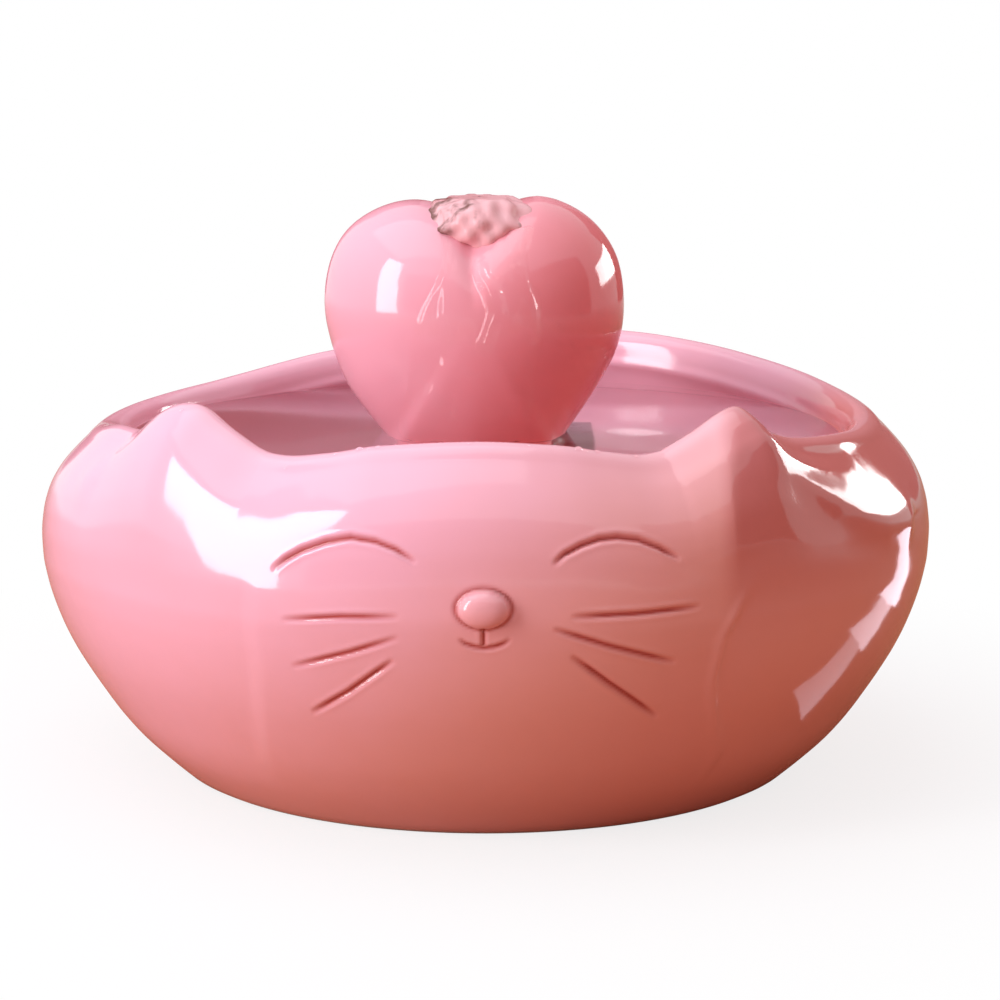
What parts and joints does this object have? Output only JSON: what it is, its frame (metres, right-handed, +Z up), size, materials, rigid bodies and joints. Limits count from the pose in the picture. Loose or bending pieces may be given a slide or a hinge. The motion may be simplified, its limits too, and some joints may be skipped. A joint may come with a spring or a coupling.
{
  "type": "pet water fountain",
  "caption": "Ceramic drinking bowl shaped as a cat's head, with a heart-shaped spout and a small submersible pump that feeds it through a hose.",
  "frame": {"origin": "centre of the bowl's flat underside, on the surface it stands on", "axes": "+Z up, +X to the right as one faces the cat, the cat's face looks along -Y"},
  "size_m": [0.2374, 0.2412, 0.1508],
  "materials": {
    "bowl_glaze": "pink high-gloss glaze",
    "heart_glaze": "pink high-gloss glaze",
    "silicone": "translucent milky silicone",
    "pump_plastic": "dark grey moulded plastic",
    "rubber": "black rubber",
    "steel": "ground steel",
    "magnet": "grey bonded ferrite",
    "impeller_plastic": "white moulded plastic",
    "laminations": "stacked steel",
    "bobbin_plastic": "cream moulded plastic",
    "copper": "enamelled copper wire",
    "resin": "tan potting resin",
    "foam": "open-cell black foam",
    "slider_plastic": "blue moulded plastic",
    "cup_rubber": "soft black rubber"
  },
  "bodies": {
    "base": {"bowl": "bowl_glaze"},
    "pump": {"riser_tube": "silicone", "pump_housing": "pump_plastic", "chamber_seal": "rubber", "chamber_cover": "pump_plastic", "front_bush": "rubber", "rear_bush": "rubber", "rotor_shaft": "steel", "stator_core": "laminations", "coil_bobbin": "bobbin_plastic", "coil_winding": "copper", "potting_resin": "resin", "outlet_nozzle": "pump_plastic", "cable_gland": "rubber", "suction_cup_1": "cup_rubber", "suction_cup_2": "cup_rubber", "suction_cup_3": "cup_rubber", "suction_cup_4": "cup_rubber"},
    "heart": {"heart_spout": "heart_glaze"},
    "rotor": {"rotor_magnet": "magnet", "impeller": "impeller_plastic"},
    "intake_cap": {"intake_cover": "pump_plastic", "intake_foam": "foam"},
    "flow_slider": {"flow_slider": "slider_plastic"}
  },
  "joints": [
    {"name": "pump_lift", "type": "slide", "parent": "base", "child": "pump", "axis": [0, 0, 1], "range_m": [0, 0.11]},
    {"name": "heart_lift", "type": "slide", "parent": "pump", "child": "heart", "axis": [0, 0, 1], "range_m": [0, 0.135]},
    {"name": "impeller_spin", "type": "hinge", "parent": "pump", "child": "rotor", "pos_m": [-0.003, 0.048, 0.032], "axis": [1, 0, 0], "continuous": true},
    {"name": "cover_pull", "type": "slide", "parent": "pump", "child": "intake_cap", "axis": [-1, 0, 0], "range_m": [0, 0.015]},
    {"name": "flow_adjust", "type": "slide", "parent": "intake_cap", "child": "flow_slider", "axis": [0, 0, 1], "range_m": [0, 0.008]}
  ]
}
